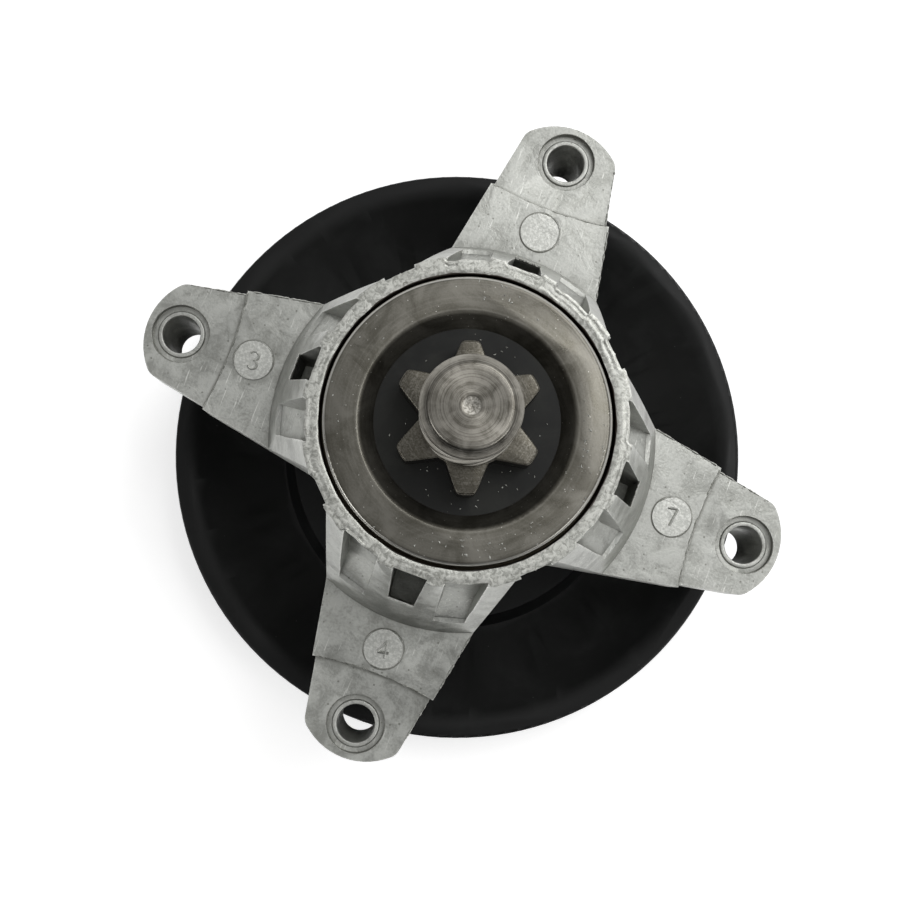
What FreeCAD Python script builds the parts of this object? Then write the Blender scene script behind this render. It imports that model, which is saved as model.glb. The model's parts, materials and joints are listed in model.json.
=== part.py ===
import FreeCAD, Part
import os
import re
import Sketcher

# All lengths are in millimetres and all angles in degrees. Heights are measured from the plane of
# the four deck pads, upwards to the blade end; the whole part is then lifted to stand on its pulley.
driving_sizes = {
    # deck bolts
    "bolt_circle": 152.4,
    "bolt_hole": 9.5,
    "bolt_recess": 14.6,
    "recess_depth": 2.0,
    "boss_radius": 8.3,
    "boss_length": 34.0,
    # arms of the housing
    "arm_count": 4,
    "tip_reach": 8.9,
    "tip_curve": 17.0,
    "tip_half": 12.3,
    "tip_corner": 4.0,
    "arm_taper": 10.5,
    "arm_root": 26.0,
    "arm_skirt": 16.0,
    "arm_plate": 7.0,
    "skirt_wall": 4.0,
    "land_height": 1.5,
    "land_overhang": 0.8,
    "land_reach": 62.6,
    "land_curve": 96.0,
    "rib_width": 6.0,
    "rib_rise": 4.0,
    "mark_reach": 56.3,
    "mark_radius": 5.0,
    "mark_height": 0.35,
    # hub of the housing
    "hub_top": 48.3,
    "hub_radius": 37.2,
    "hub_skirt": 16.0,
    "flare_radius": 48.8,
    "flute_radius": 36.3,
    "flute_half": 4.0,
    "flute_draw": 0.8,
    "flute_reach": 43.2,
    "flute_floor": 4.0,
    "gusset_wall": 4.0,
    "scoop_width": 9.0,
    "scoop_reach": 46.2,
    "scoop_depth": 21.0,
    "scoop_bend": 29.5,
    "scoop_bend_reach": 39.6,
    "scoop_end": 35.5,
    "scoop_end_reach": 45.0,
    "gap_flute_width": 7.4,
    "mouth_radius": 33.2,
    "mouth_floor": 41.5,
    "mouth_bevel": 0.6,
    "through_radius": 20.5,
    "tail_radius": 29.5,
    "tail_lip": 2.0,
    "tail_cone": 8.0,
    # bearings
    "bearing_outer": 47.0,
    "bearing_bore": 20.0,
    "bearing_width": 14.0,
    "spacer_length": 55.5,
    "spacer_wall": 3.5,
    "ball_size": 7.9,
    "ball_circle": 33.5,
    "ball_count": 8,
    "race_gap": 0.06,
    "inner_land": 14.1,
    "outer_land": 19.6,
    "seal_seat": 20.6,
    "seal_depth": 1.5,
    "seal_sheet": 1.1,
    "lip_gap": 0.1,
    "cage_wall": 2.7,
    "cage_height": 9.6,
    "cage_gap": 0.12,
    "fit_gap": 0.02,
    # shaft
    "stub_radius": 10.8,
    "stub_end": 81.3,
    "stub_bevel": 2.1,
    "stub_relief": 0.7,
    "relief_width": 2.4,
    "centre_radius": 2.0,
    "centre_depth": 1.8,
    "star_front": 56.4,
    "star_back": 46.0,
    "star_tip": 17.1,
    "star_tip_half": 2.1,
    "star_corner": 1.0,
    "star_flank": 20.5,
    "star_root": 11.0,
    "star_core": 7.0,
    "star_bevel": 0.5,
    "star_teeth": 6,
    "star_turn": 48.5,
    "seat_radius": 8.5,
    "thread_radius": 7.94,
    "thread_bevel": 1.0,
    "key_width": 5.0,
    "key_height": 5.0,
    "key_length": 12.0,
    "key_depth": 2.4,
    "key_margin": 1.0,
    # shield and seal at the blade end
    "shield_radius": 32.5,
    "shield_top": 49.6,
    "shield_edge": 1.2,
    "shield_skirt": 5.6,
    "shield_sheet": 2.0,
    "dish_mouth": 24.3,
    "dish_floor": 20.2,
    "dish_round": 1.5,
    "lining": 1.0,
    "collar_wall": 3.5,
    # pulley
    "rim_gap": 49.0,
    "pulley_radius": 80.0,
    "pulley_width": 22.0,
    "sheave_sheet": 2.5,
    "web_drop": 2.0,
    "web_radius": 46.5,
    "wall_run": 3.0,
    "trough_width": 2.2,
    "groove_radius": 53.0,
    "lip_width": 4.4,
    "lip_slope": 5.1,
    "lip_drop": 2.2,
    "rim_edge": 1.0,
    "hub_wall": 4.6,
    "hub_flange": 20.0,
    "flange_sheet": 3.0,
    "spigot_radius": 12.5,
    # nut and washer
    "washer_radius": 14.0,
    "washer_sheet": 2.0,
    "nut_height": 12.0,
    "nut_flats": 23.8,
    "nut_flange": 14.2,
    "nut_flange_sheet": 2.4,
    "nut_bevel": 1.2,
    "nut_sides": 6,
}
same_place = 0.01

os.makedirs("parts", exist_ok=True)
doc = FreeCAD.newDocument("mower_deck_spindle")
sheet = doc.addObject("Spreadsheet::Sheet", "sizes")
for row, (size_name, size_value) in enumerate(driving_sizes.items(), start=1):
    sheet.set("A%d" % row, size_name)
    sheet.set("B%d" % row, str(size_value))
    sheet.setAlias("B%d" % row, size_name)
doc.recompute()

STAND = "rim_gap + pulley_width"
BORE = "bearing_bore / 2 + fit_gap"
SEAT = "bearing_outer / 2 + fit_gap"
LOWER_BEARING = "mouth_floor"
UPPER_BEARING = "mouth_floor - bearing_width - spacer_length"
STACK_END = "mouth_floor - bearing_width - spacer_length - bearing_width"
TAIL_END = STACK_END + " - tail_lip"
NEAR_RIM = "-rim_gap"
FAR_RIM = "-rim_gap - pulley_width"
MID_PLANE = "-rim_gap - pulley_width / 2"
WEB_TOP = "-rim_gap - web_drop"
WEB_END = "-rim_gap - web_drop - 2 * sheave_sheet"
NUT_SEAT = "-rim_gap - web_drop - 2 * sheave_sheet - washer_sheet"
finished = []


def bound(text):
    """Puts the sheet's name before every size in an expression."""
    def with_sheet(hit):
        word = hit.group()
        return "sizes." + word if word in driving_sizes else word
    return re.sub(r"[a-z_]+", with_sheet, text)


def new_body(label, turn=None):
    """Starts one sub-part, lifted so that the pulley's far rim stands at height zero."""
    body = doc.addObject("PartDesign::Body", label)
    body.Label = label
    if turn:
        body.Placement = FreeCAD.Placement(FreeCAD.Vector(), FreeCAD.Rotation(FreeCAD.Vector(0, 0, 1), 1))
        body.setExpression("Placement.Rotation.Angle", bound(turn))
    body.setExpression("Placement.Base.z", bound(STAND))
    finished.append(body)
    return body


def origin_feature(body, role):
    return [item for item in body.Origin.OriginFeatures if item.Role == role][0]


def new_sketch(body, role, level=None):
    """Starts a sketch on one of the body's own planes, raised to a level where one is given."""
    sketch = body.newObject("Sketcher::SketchObject", body.Name + "_sketch")
    sketch.AttachmentSupport = [(origin_feature(body, role), "")]
    sketch.MapMode = "FlatFace"
    if level:
        sketch.setExpression("AttachmentOffset.Base.z", bound(level))
    return sketch


def tie(sketch, kind, where, text):
    """Adds one dimension to a sketch and binds it to an expression."""
    number = sketch.addConstraint(Sketcher.Constraint(kind, *where, 1.0))
    sketch.setExpression("Constraints[%d]" % number, bound(text))


def add_loop(sketch, corners):
    """Draws a closed outline through corners that are given as pairs of expressions."""
    first = sketch.GeometryCount
    count = len(corners)
    start = [FreeCAD.Vector(index, index * index, 0) for index in range(count)]
    for index in range(count):
        sketch.addGeometry(Part.LineSegment(start[index], start[(index + 1) % count]), False)
    for index in range(count):
        following = first + (index + 1) % count
        sketch.addConstraint(Sketcher.Constraint("Coincident", first + index, 2, following, 1))
    for index, (across, along) in enumerate(corners):
        tie(sketch, "DistanceX", (-1, 1, first + index, 1), across)
        tie(sketch, "DistanceY", (-1, 1, first + index, 1), along)


def add_tip_outline(sketch, inner, inner_half, corner, corner_half, centre):
    """Draws a tapered outline whose far end is an arc about a centre on the sketch's own axis."""
    near, far, middle = (FreeCAD.Vector(*spot) for spot in ((0, 1), (2, 1), (1, 0)))
    near_other, far_other = (FreeCAD.Vector(spot.x, -spot.y) for spot in (near, far))
    end_arc = Part.ArcOfCircle(Part.Circle(middle, FreeCAD.Vector(0, 0, 1), 1), -1, 1)
    lower, arc, upper, base = sketch.addGeometry(
        [Part.LineSegment(near_other, far_other), end_arc, Part.LineSegment(far, near),
         Part.LineSegment(near, near_other)], False)
    for first, second in ((lower, arc), (arc, upper), (upper, base), (base, lower)):
        sketch.addConstraint(Sketcher.Constraint("Coincident", first, 2, second, 1))
    for line, across, along in ((lower, inner, "-(%s)" % inner_half), (arc, corner, "-(%s)" % corner_half),
                                (upper, corner, corner_half), (base, inner, inner_half)):
        tie(sketch, "DistanceX", (-1, 1, line, 1), across)
        tie(sketch, "DistanceY", (-1, 1, line, 1), along)
    tie(sketch, "DistanceX", (-1, 1, arc, 3), centre)


def add_circle(sketch, across, along, radius):
    """Draws a circle whose centre and radius are expressions."""
    number = sketch.GeometryCount
    sketch.addGeometry(Part.Circle(FreeCAD.Vector(1, 1, 0), FreeCAD.Vector(0, 0, 1), 1), False)
    sketch.addConstraint(Sketcher.Constraint("Radius", number, 1.0))
    sketch.setExpression("Constraints[%d]" % (sketch.ConstraintCount - 1), bound(radius))
    tie(sketch, "DistanceX", (-1, 1, number, 3), across)
    tie(sketch, "DistanceY", (-1, 1, number, 3), along)


def finish_feature(body, feature):
    doc.recompute()
    body.Tip = feature
    return feature


def turned(body, corners, kind="PartDesign::Revolution"):
    """Turns an outline of radius and height pairs about the spindle's axis."""
    sketch = new_sketch(body, "XZ_Plane")
    add_loop(sketch, corners)
    return turn_sketch(body, sketch, kind)


def turn_sketch(body, sketch, kind):
    feature = body.newObject(kind, body.Name + "_turned")
    feature.Profile = sketch
    feature.ReferenceAxis = (sketch, ["V_Axis"])
    feature.Angle = 360
    return finish_feature(body, feature)


def turned_ring_groove(body, radius, height, section):
    """Cuts a round-bottomed ring groove whose section is a circle."""
    sketch = new_sketch(body, "XZ_Plane")
    add_circle(sketch, radius, height, section)
    return turn_sketch(body, sketch, "PartDesign::Groove")


def grown(body, sketch, length, kind="PartDesign::Pad", reversed_way=False, second=None):
    """Pads or pockets a sketch by one length, or by two lengths to both sides."""
    feature = body.newObject(kind, body.Name + "_grown")
    feature.Profile = sketch
    if second:
        feature.SideType = "Two sides"
        feature.setExpression("Length2", bound(second))
    feature.Reversed = reversed_way
    feature.setExpression("Length", bound(length))
    return finish_feature(body, feature)


def around(body, features, count):
    """Repeats features evenly about the spindle's axis."""
    pattern = body.newObject("PartDesign::PolarPattern", body.Name + "_around")
    pattern.Originals = features
    pattern.Axis = (origin_feature(body, "Z_Axis"), [""])
    pattern.Angle = 360
    pattern.setExpression("Occurrences", bound(count))
    return finish_feature(body, pattern)


def upright_edges(shape, radius):
    """Names the straight edges that run along the axis at one distance from it."""
    names = []
    for number, edge in enumerate(shape.Edges, start=1):
        ends = [vertex.Point for vertex in edge.Vertexes]
        reach = [(end.x ** 2 + end.y ** 2) ** 0.5 for end in ends]
        if len(ends) < 2 or (ends[0] - ends[1]).cross(FreeCAD.Vector(0, 0, 1)).Length > same_place:
            continue
        if abs(reach[0] - radius) < same_place:
            names.append("Edge%d" % number)
    return names


def ring_edges(shape, radius, height):
    """Names the full-circle edges of one radius at one height."""
    names = []
    for number, edge in enumerate(shape.Edges, start=1):
        curve = edge.Curve
        if not isinstance(curve, Part.Circle):
            continue
        if abs(curve.Radius - radius) < same_place and abs(curve.Center.z - height) < same_place:
            names.append("Edge%d" % number)
    return names


def rounded(body, edge_names, size, kind="PartDesign::Fillet", field="Radius"):
    """Rounds or bevels named edges of the body's last feature."""
    base = body.Tip
    feature = body.newObject(kind, body.Name + "_edge")
    feature.Base = (base, edge_names)
    feature.setExpression(field, bound(size))
    return finish_feature(body, feature)


def rotated(across, along, angle):
    """Expressions for a point turned about the axis by an angle expression."""
    turn = "(%s) * 1deg" % angle
    new_across = "(%s) * cos(%s) - (%s) * sin(%s)" % (across, turn, along, turn)
    new_along = "(%s) * sin(%s) + (%s) * cos(%s)" % (across, turn, along, turn)
    return new_across, new_along


def radial_slot(inner, outer, width, angle):
    """Corners of a straight slot that points outwards at one angle."""
    half = "(%s) / 2" % width
    below = "-(%s) / 2" % width
    return [rotated(inner, below, angle), rotated(outer, below, angle),
            rotated(outer, half, angle), rotated(inner, half, angle)]


# Housing: each arm is a wedge whose inner part is a little wider and higher than its deck pad.
housing = new_body("spindle_housing")
BOLT = "bolt_circle / 2"
TIP_CENTRE = "(bolt_circle / 2 + tip_reach - tip_curve)"
TIP_CORNER = TIP_CENTRE + " + sqrt(tip_curve ^ 2 - tip_half ^ 2)"


def arm_half_width(across):
    """Half the width of an arm at a distance from the axis."""
    return "tip_half + (%s - (%s)) * tan(arm_taper * 1deg)" % (TIP_CORNER, across)


def wedge(inner, outer, margin):
    """Corners of the tapered arm between two distances, drawn in by a margin on both sides."""
    near = "%s - (%s)" % (arm_half_width(inner), margin)
    far = "%s - (%s)" % (arm_half_width(outer), margin)
    return [(inner, "-(%s)" % near), (outer, "-(%s)" % far), (outer, far), (inner, near)]


sketch = new_sketch(housing, "XY_Plane")
add_loop(sketch, wedge("arm_root", BOLT, "-land_overhang"))
arm = grown(housing, sketch, "hub_top", second="arm_skirt")
around(housing, [arm], "arm_count")

# The arms' roots are trimmed to a cone that flares from the rim to the arm face.
turned(housing, [("hub_radius", "hub_top"), ("bolt_circle", "hub_top"),
                 ("bolt_circle", "land_height"), ("flare_radius", "land_height")], "PartDesign::Groove")

# The inner part ends in a curved step, and the deck pad runs on below it to a blunt round tip.
sketch = new_sketch(housing, "XY_Plane", "land_height")
add_circle(sketch, "land_reach + land_curve", "0", "land_curve")
pad_step = grown(housing, sketch, "land_height + arm_skirt", "PartDesign::Pocket")
around(housing, [pad_step], "arm_count")
sketch = new_sketch(housing, "XY_Plane")
add_tip_outline(sketch, "arm_root", arm_half_width("arm_root"), TIP_CORNER, "tip_half", TIP_CENTRE)
pad = grown(housing, sketch, "arm_skirt", reversed_way=True)
around(housing, [pad], "arm_count")
tip_corner_across = (sheet.bolt_circle / 2 + sheet.tip_reach - sheet.tip_curve
                     + (sheet.tip_curve ** 2 - sheet.tip_half ** 2) ** 0.5)
rounded(housing, upright_edges(housing.Tip.Shape, (tip_corner_across ** 2 + sheet.tip_half ** 2) ** 0.5),
        "tip_corner")

# Each arm is hollow underneath, between its skirts.
sketch = new_sketch(housing, "XY_Plane", "-arm_skirt")
add_loop(sketch, wedge("hub_radius", BOLT + " - boss_radius / 2", "skirt_wall"))
hollow = grown(housing, sketch, "arm_skirt - arm_plate", "PartDesign::Pocket", reversed_way=True)
around(housing, [hollow], "arm_count")

# A rib runs under each arm from the hub's tail to the bolt boss.
sketch = new_sketch(housing, "XY_Plane", "-arm_plate")
add_circle(sketch, BOLT, "0", "boss_radius")
boss = grown(housing, sketch, "boss_length - arm_plate", reversed_way=True)
sketch = new_sketch(housing, "XZ_Plane")
add_loop(sketch, [("arm_root", "-arm_plate / 2"), (BOLT, "-arm_plate / 2"),
                  (BOLT, "-boss_length + rib_rise"), ("arm_root", TAIL_END + " + rib_rise")])
rib = grown(housing, sketch, "rib_width / 2", second="rib_width / 2")
around(housing, [boss, rib], "arm_count")

# The hub's wall and its narrower tail at the pulley end.
turned(housing, [("through_radius", "hub_top"), ("hub_radius", "hub_top"), ("hub_radius", "-hub_skirt"),
                 ("tail_radius", "-hub_skirt - tail_cone"), ("tail_radius", TAIL_END),
                 ("through_radius", TAIL_END)])

# A deep cored flute stands in the middle of each arm's root, and one in each gap between the arms.
sketch = new_sketch(housing, "XY_Plane", "hub_top")
add_loop(sketch, [("flute_radius", "-flute_half"), ("flute_reach", "flute_draw - flute_half"),
                  ("flute_reach", "flute_half - flute_draw"), ("flute_radius", "flute_half")])
arm_flute = grown(housing, sketch, "hub_top - flute_floor", "PartDesign::Pocket")
sketch = new_sketch(housing, "XY_Plane", "hub_top")
add_loop(sketch, radial_slot("flute_radius", "flute_reach", "gap_flute_width", "180 / arm_count"))
gap_flute = grown(housing, sketch, "hub_top + hub_skirt", "PartDesign::Pocket")

# A scoop lies on each side of the flute, behind a gusset: its back is upright and its floor runs
# out to the cone in two bends.
SCOOP_NEAR = "flute_half + gusset_wall"
SCOOP_FAR = "flute_half + gusset_wall + scoop_width"


def on_ring(radius, along):
    """Distance along the arm of a point on a ring, at a distance to one side."""
    return "sqrt((%s) ^ 2 - (%s) ^ 2)" % (radius, along)


def scoop_section(side, drop, inner, draw):
    """One level outline of a scoop, between two rings and two walls."""
    near = SCOOP_NEAR + " + " + draw
    far = SCOOP_FAR + " - " + draw
    section = new_sketch(housing, "XY_Plane", "hub_top - (%s)" % drop)
    spots = [(inner, near), ("scoop_reach", near), ("scoop_reach", far), (inner, far)]
    add_loop(section, [(on_ring(ring, along), "%s(%s)" % (side, along)) for ring, along in spots])
    return section


def scoop(side):
    """One scoop, lofted through its level outlines."""
    levels = [("0", "flute_radius", "0"),
              ("scoop_depth", "flute_radius", "flute_draw / 2"),
              ("scoop_bend", "scoop_bend_reach", "flute_draw"),
              ("scoop_end", "scoop_end_reach", "flute_draw")]
    sections = [scoop_section(side, *level) for level in levels]
    feature = housing.newObject("PartDesign::SubtractiveLoft", "spindle_housing_scoop")
    feature.Profile = sections[0]
    feature.Sections = sections[1:]
    feature.Ruled = True
    return finish_feature(housing, feature)


around(housing, [arm_flute, gap_flute, scoop(""), scoop("-")], "arm_count")

# Mouth, bearing seats and the bore between them.
turned(housing, [("0", "hub_top"), ("mouth_radius + mouth_bevel", "hub_top"),
                 ("mouth_radius", "hub_top - mouth_bevel"), ("mouth_radius", "mouth_floor"),
                 (SEAT, "mouth_floor"), (SEAT, "mouth_floor - bearing_width"),
                 ("through_radius", "mouth_floor - bearing_width"), ("through_radius", UPPER_BEARING),
                 (SEAT, UPPER_BEARING), (SEAT, TAIL_END), ("0", TAIL_END)],
       "PartDesign::Groove")

# Bolt holes with a shallow recess, and a round pin mark on each arm.
sketch = new_sketch(housing, "XY_Plane")
add_circle(sketch, BOLT, "0", "bolt_recess / 2")
recess = grown(housing, sketch, "recess_depth", "PartDesign::Pocket")
sketch = new_sketch(housing, "XY_Plane")
add_circle(sketch, BOLT, "0", "bolt_hole / 2")
hole = grown(housing, sketch, "boss_length", "PartDesign::Pocket")
sketch = new_sketch(housing, "XY_Plane", "land_height")
add_circle(sketch, "mark_reach", "0", "mark_radius")
mark = grown(housing, sketch, "mark_height")
around(housing, [recess, hole, mark], "arm_count")

# Shaft: stub, star and the long journal down to the pulley's seat and thread.
shaft = new_body("spindle_shaft", "star_turn")
THREAD_END = NUT_SEAT + " - nut_height"
turned(shaft, [("0", "stub_end - centre_depth"), ("centre_radius", "stub_end"),
               ("stub_radius - stub_bevel", "stub_end"), ("stub_radius", "stub_end - stub_bevel"),
               ("stub_radius", "star_front + relief_width"),
               ("stub_radius - stub_relief", "star_front + relief_width"),
               ("stub_radius - stub_relief", "star_front"), ("star_root", "star_front"),
               ("star_root", "star_back"), ("bearing_bore / 2", "star_back"),
               ("bearing_bore / 2", STACK_END), ("seat_radius", STACK_END),
               ("seat_radius", NUT_SEAT), ("thread_radius", NUT_SEAT),
               ("thread_radius", THREAD_END + " + thread_bevel"),
               ("thread_radius - thread_bevel", THREAD_END), ("0", THREAD_END)])
CORE_HALF = "star_tip_half + (star_tip - star_core) * tan(star_flank * 1deg)"
sketch = new_sketch(shaft, "XY_Plane", "star_back")
add_loop(sketch, [("star_core", "-(%s)" % CORE_HALF), ("star_tip", "-star_tip_half"),
                  ("star_tip", "star_tip_half"), ("star_core", CORE_HALF)])
tooth = grown(shaft, sketch, "star_front - star_back")
around(shaft, [tooth], "star_teeth")
rounded(shaft, upright_edges(shaft.Tip.Shape, (sheet.star_tip ** 2 + sheet.star_tip_half ** 2) ** 0.5),
        "star_corner")
tip_edges = []
for number, edge in enumerate(shaft.Tip.Shape.Edges, start=1):
    ends = [vertex.Point for vertex in edge.Vertexes]
    if len(ends) == 2 and all(abs(end.z - sheet.star_front) < same_place for end in ends):
        if all((end.x ** 2 + end.y ** 2) ** 0.5 > sheet.star_root + sheet.star_bevel for end in ends):
            tip_edges.append("Edge%d" % number)
rounded(shaft, tip_edges, "star_bevel", "PartDesign::Chamfer", "Size")
KEY_TOP = WEB_END + " + key_margin + key_length"
sketch = new_sketch(shaft, "XY_Plane", KEY_TOP)
add_loop(sketch, radial_slot("seat_radius - key_depth", "seat_radius + key_depth", "key_width", "0"))
grown(shaft, sketch, "key_length", "PartDesign::Pocket")

key = new_body("pulley_key", "star_turn")
sketch = new_sketch(key, "XY_Plane", KEY_TOP)
add_loop(sketch, radial_slot("seat_radius - key_depth", "seat_radius - key_depth + key_height",
                             "key_width - 2 * fit_gap", "0"))
grown(key, sketch, "key_length", reversed_way=True)

# Shield: a pressed ring with a turned-down edge and a dish that is clamped under the star.
shield = new_body("dust_shield")
DISH_TOP = "star_back - lining"
SKIN_END = DISH_TOP + " - shield_sheet"
turned(shield, [("shield_radius", "shield_top - shield_skirt"), ("shield_radius", "shield_top"),
                ("dish_mouth", "shield_top"), ("dish_floor", DISH_TOP), (BORE, DISH_TOP), (BORE, SKIN_END),
                ("dish_floor + shield_sheet / 2", SKIN_END),
                ("dish_mouth + shield_sheet / 2", "shield_top - shield_sheet"),
                ("shield_radius - shield_sheet", "shield_top - shield_sheet"),
                ("shield_radius - shield_sheet", "shield_top - shield_skirt")])
rounded(shield, ring_edges(shield.Tip.Shape, sheet.shield_radius, sheet.shield_top), "shield_edge")
rounded(shield, ring_edges(shield.Tip.Shape, sheet.dish_mouth, sheet.shield_top), "dish_round")

# Seal: a moulded disc that fills the floor of the dish.
seal = new_body("shaft_seal")
WALL_RUN = "lining * (dish_mouth - dish_floor) / (shield_top - star_back + lining)"
turned(seal, [(BORE, DISH_TOP), ("dish_floor - fit_gap", DISH_TOP),
              ("dish_floor - fit_gap + " + WALL_RUN, "star_back"), (BORE, "star_back")])

collar = new_body("lower_collar")
turned(collar, [(BORE, SKIN_END), (BORE + " + collar_wall", SKIN_END),
                (BORE + " + collar_wall", LOWER_BEARING), (BORE, LOWER_BEARING)])

SPACER_TOP = "mouth_floor - bearing_width"
spacer = new_body("bearing_spacer")
turned(spacer, [(BORE, SPACER_TOP), (BORE + " + spacer_wall", SPACER_TOP),
                (BORE + " + spacer_wall", UPPER_BEARING), (BORE, UPPER_BEARING)])


def plain_ring(label, inner, outer, top, bottom):
    """A ring with a square section."""
    ring = new_body(label)
    turned(ring, [(inner, top), (outer, top), (outer, bottom), (inner, bottom)])
    return ring


# Two alike sealed ball bearings, each at its own height.
for place, top in (("lower", LOWER_BEARING), ("upper", UPPER_BEARING)):
    bottom = top + " - bearing_width"
    middle = top + " - bearing_width / 2"
    pitch = "ball_circle / 2"
    track = "ball_size / 2 + race_gap"
    outer = new_body(place + "_outer_race")
    turned(outer, [("bearing_outer / 2", top), ("bearing_outer / 2", bottom), ("seal_seat", bottom),
                   ("seal_seat", bottom + " + seal_depth"), ("outer_land", bottom + " + seal_depth"),
                   ("outer_land", top + " - seal_depth"), ("seal_seat", top + " - seal_depth"),
                   ("seal_seat", top)])
    turned_ring_groove(outer, pitch, middle, track)
    inner = plain_ring(place + "_inner_race", BORE, "inner_land", top, bottom)
    turned_ring_groove(inner, pitch, middle, track)
    plain_ring(place + "_front_seal", "inner_land + lip_gap", "seal_seat - fit_gap",
               top + " - seal_depth + seal_sheet", top + " - seal_depth")
    plain_ring(place + "_rear_seal", "inner_land + lip_gap", "seal_seat - fit_gap",
               bottom + " + seal_depth", bottom + " + seal_depth - seal_sheet")
    cage = plain_ring(place + "_cage", pitch + " - cage_wall / 2", pitch + " + cage_wall / 2",
                      middle + " + cage_height / 2", middle + " - cage_height / 2")
    sketch = new_sketch(cage, "YZ_Plane")
    add_circle(sketch, "0", middle, "ball_size / 2 + cage_gap")
    socket = grown(cage, sketch, "ball_circle", "PartDesign::Pocket", reversed_way=True)
    around(cage, [socket], "ball_count")
    balls = []
    for number in range(int(sheet.ball_count)):
        ball = doc.addObject("Part::Sphere", "%s_ball_%d" % (place, number))
        ball.setExpression("Radius", bound("ball_size / 2"))
        across, along = rotated(pitch, "0", "360 / ball_count * %d" % number)
        ball.setExpression("Placement.Base.x", bound(across))
        ball.setExpression("Placement.Base.y", bound(along))
        ball.setExpression("Placement.Base.z", bound(STAND + " + " + middle))
        balls.append(ball)
    ball_set = doc.addObject("Part::Compound", place + "_balls")
    ball_set.Links = balls
    ball_set.Label = place + "_balls"
    finished.append(ball_set)

# Pulley: a keyed hub and two pressed halves that lie together as far as the groove's root.
hub = new_body("pulley_hub", "star_turn")
HUB_BORE = "seat_radius + fit_gap"
FLANGE_TOP = WEB_TOP + " + flange_sheet"
turned(hub, [(HUB_BORE, STACK_END), (HUB_BORE + " + hub_wall", STACK_END),
             (HUB_BORE + " + hub_wall", FLANGE_TOP), ("hub_flange", FLANGE_TOP),
             ("hub_flange", WEB_TOP), ("spigot_radius", WEB_TOP), ("spigot_radius", WEB_END),
             (HUB_BORE, WEB_END)])
sketch = new_sketch(hub, "XY_Plane", STACK_END)
add_loop(sketch, radial_slot("0", "seat_radius - key_depth + key_height + fit_gap", "key_width", "0"))
grown(hub, sketch, STACK_END + " - (" + WEB_END + ")", "PartDesign::Pocket")

SPIGOT = "spigot_radius + fit_gap"
JOINT_LEVEL = WEB_TOP + " - sheave_sheet"
LIP_START = "pulley_radius - lip_width"
FLANK_END = "pulley_radius - lip_width - lip_slope"
joint_line = [(SPIGOT, JOINT_LEVEL), ("web_radius - sheave_sheet", JOINT_LEVEL),
              ("web_radius - sheave_sheet + wall_run", MID_PLANE), ("groove_radius", MID_PLANE)]


def sheave_rim(rim, inwards):
    """Outline of a pulley half's flank and lip, from the belt side round to the open side."""
    under = rim + inwards + "sheave_sheet"
    return [(FLANK_END + " + sheave_sheet / 2", under + inwards + "lip_drop"),
            (LIP_START + " + sheave_sheet / 2", under), ("pulley_radius", under), ("pulley_radius", rim),
            (LIP_START, rim), (FLANK_END, rim + inwards + "lip_drop")]


NEAR_TROUGH = MID_PLANE + " + sheave_sheet"
FAR_TROUGH = MID_PLANE + " - sheave_sheet"
lower_sheave = new_body("lower_sheave")
turned(lower_sheave, joint_line + sheave_rim(NEAR_RIM, " - ") + [
    ("web_radius + wall_run + trough_width", NEAR_TROUGH), ("web_radius + wall_run", NEAR_TROUGH),
    ("web_radius", WEB_TOP), (SPIGOT, WEB_TOP)])
rounded(lower_sheave, ring_edges(lower_sheave.Tip.Shape, sheet.pulley_radius, -sheet.rim_gap), "rim_edge")

upper_sheave = new_body("upper_sheave")
turned(upper_sheave, joint_line + sheave_rim(FAR_RIM, " + ") + [
    ("web_radius + wall_run + trough_width", FAR_TROUGH),
    ("web_radius - 2 * sheave_sheet + wall_run", FAR_TROUGH),
    ("web_radius - 2 * sheave_sheet", WEB_END), (SPIGOT, WEB_END)])
rounded(upper_sheave, ring_edges(upper_sheave.Tip.Shape, sheet.pulley_radius,
                                 -sheet.rim_gap - sheet.pulley_width), "rim_edge")

plain_ring("nut_washer", HUB_BORE, "washer_radius", WEB_END, NUT_SEAT)

# Nut: a hexagon on a round flange, with its corners turned off at the end.
nut = new_body("pulley_nut", "star_turn")
THREAD_BORE = "thread_radius + fit_gap"
sketch = new_sketch(nut, "XY_Plane", NUT_SEAT)
CORNER = "nut_flats / 2 / cos(180deg / nut_sides)"
corner_count = int(sheet.nut_sides)
add_loop(sketch, [rotated(CORNER, "0", "360 / nut_sides * %d" % number) for number in range(corner_count)])
grown(nut, sketch, "nut_height", reversed_way=True)
FLANGE_END = NUT_SEAT + " - nut_flange_sheet"
turned(nut, [(THREAD_BORE, NUT_SEAT), ("nut_flange", NUT_SEAT), ("nut_flange", FLANGE_END + " / 2"),
             ("nut_flats / 2", FLANGE_END), (THREAD_BORE, FLANGE_END)])
turned(nut, [(CORNER + " - nut_bevel", THREAD_END), (CORNER + " + nut_bevel", THREAD_END),
             (CORNER + " + nut_bevel", THREAD_END + " + nut_bevel")], "PartDesign::Groove")
turned(nut, [("0", NUT_SEAT), (THREAD_BORE, NUT_SEAT), (THREAD_BORE, THREAD_END), ("0", THREAD_END)],
       "PartDesign::Groove")

doc.recompute()
for item in doc.Objects:
    if "Invalid" in item.State or "Error" in item.State:
        raise RuntimeError("%s has state %s" % (item.Name, item.State))
for item in finished:
    if item.Shape.isNull() or not item.Shape.isValid():
        raise RuntimeError("%s has no sound shape" % item.Label)
    item.Shape.exportStep("parts/%s.step" % item.Label)
print("%d sub-parts written" % len(finished))
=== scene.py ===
import json
import math
import bmesh
import bpy
import numpy as np
from mathutils import Matrix, Vector


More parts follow.
